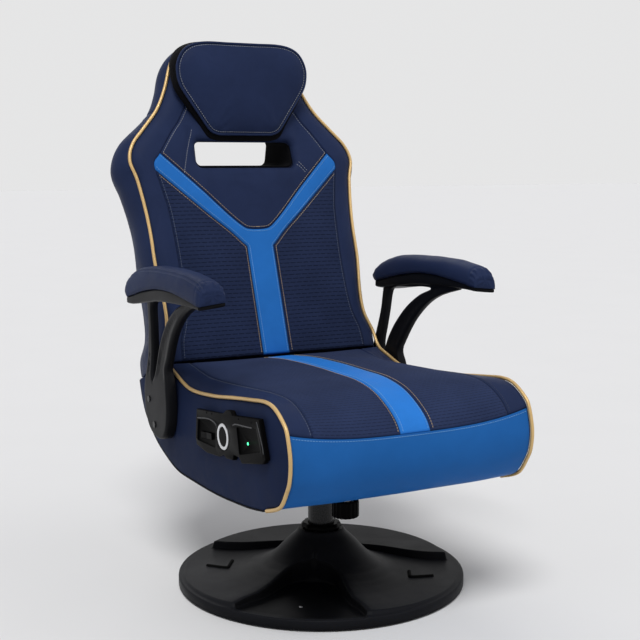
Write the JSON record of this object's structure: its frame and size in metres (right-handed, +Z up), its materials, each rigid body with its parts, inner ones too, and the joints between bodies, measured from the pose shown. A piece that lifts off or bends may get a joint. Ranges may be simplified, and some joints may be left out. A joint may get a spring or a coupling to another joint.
{
  "type": "gaming rocker chair",
  "caption": "L-shaped upholstered gaming chair with arms and head pillow on a swivel and spring-tilt pedestal with a round moulded base.",
  "frame": {"origin": "on the floor, on the swivel axis", "axes": "+Z up along the swivel axis; the seat faces -Y; +X is the sitter's left"},
  "size_m": [0.622, 0.8493, 1.0689],
  "materials": {
    "navy_leather": "soft sheen, fine grain",
    "blue_leather": "soft sheen, fine grain",
    "navy_mesh": "matt open mesh",
    "gold_piping": "satin",
    "black_fabric": "matt",
    "black_plastic": "satin, moulded",
    "gloss_plastic": "gloss, moulded",
    "black_steel": "gloss black paint",
    "bright_steel": "zinc plated",
    "silver_ring": "satin plated",
    "rubber": "matt",
    "nylon": "natural white",
    "foam": "open-cell foam",
    "plywood": "raw"
  },
  "bodies": {
    "base": {"base_shell": "black_plastic", "foot_1": "rubber", "foot_2": "rubber", "foot_3": "rubber", "foot_4": "rubber", "post_tube": "black_steel", "post_collar": "gloss_plastic", "spindle_bush": "nylon"},
    "swivel": {"spindle": "bright_steel", "spindle_nut": "bright_steel", "thrust_bearing": "nylon", "mechanism_body": "black_steel", "tilt_axle": "bright_steel", "tilt_bumper": "rubber", "tension_spring": "bright_steel"},
    "seat": {"seat_plate": "black_steel", "seat_bolt_1": "bright_steel", "seat_bolt_2": "bright_steel", "seat_bolt_3": "bright_steel", "seat_bolt_4": "bright_steel", "tension_bolt": "bright_steel", "seat_board": "plywood", "seat_foam": "foam", "seat_band_left": "navy_leather", "seat_band_right": "navy_leather", "seat_insert_left": "navy_mesh", "seat_insert_right": "navy_mesh", "seat_stripe": "blue_leather", "front_panel": "blue_leather", "underside_cover": "black_fabric", "side_panel_left": "navy_leather", "side_panel_right": "navy_leather", "piping_left": "gold_piping", "piping_right": "gold_piping", "back_insert_left": "navy_mesh", "back_insert_right": "navy_mesh", "back_band_left": "navy_leather", "back_band_right": "navy_leather", "arm_frame_left": "black_plastic", "arm_frame_right": "black_plastic", "arm_pad_left": "navy_leather", "arm_pad_right": "navy_leather", "arm_bolt_left_1": "black_steel", "arm_bolt_left_2": "black_steel", "arm_bolt_right_1": "black_steel", "arm_bolt_right_2": "black_steel", "back_foam": "foam", "speaker_box": "black_plastic", "back_side": "navy_leather", "rear_cover": "navy_leather", "slot_liner": "black_fabric", "back_stripe": "blue_leather", "chest_panel": "navy_leather", "pillow_face": "navy_leather", "pillow_gusset": "black_fabric", "control_panel": "gloss_plastic", "panel_ring": "silver_ring"},
    "knob": {"tension_knob": "gloss_plastic"},
    "button": {"power_button": "gloss_plastic"},
    "key": {"volume_key": "gloss_plastic"}
  },
  "joints": [
    {"name": "swivel", "type": "hinge", "parent": "base", "child": "swivel", "pos_m": [0, 0, 0], "axis": [0, 0, 1], "continuous": true},
    {"name": "seat_tilt", "type": "hinge", "parent": "swivel", "child": "seat", "pos_m": [0, 0.01, 0.205], "axis": [-1, 0, 0], "range_deg": [0, 9], "stiffness_Nm_per_rad": 150, "springref_deg": -17.19, "deforming": ["tension_spring"]},
    {"name": "tension_turn", "type": "hinge", "parent": "seat", "child": "knob", "pos_m": [0, -0.097, 0.1527], "axis": [0, 0, 1], "continuous": true},
    {"name": "button_press", "type": "slide", "parent": "seat", "child": "button", "axis": [1, 0, 0], "range_m": [0, 0.0012], "stiffness_N_per_m": 500, "springref_m": -0.001},
    {"name": "volume_rock", "type": "hinge", "parent": "seat", "child": "key", "pos_m": [-0.2578, -0.04881, 0.32748], "axis": [0, 0.108, 0.9942], "range_deg": [-3, 3], "stiffness_Nm_per_rad": 0.05}
  ]
}
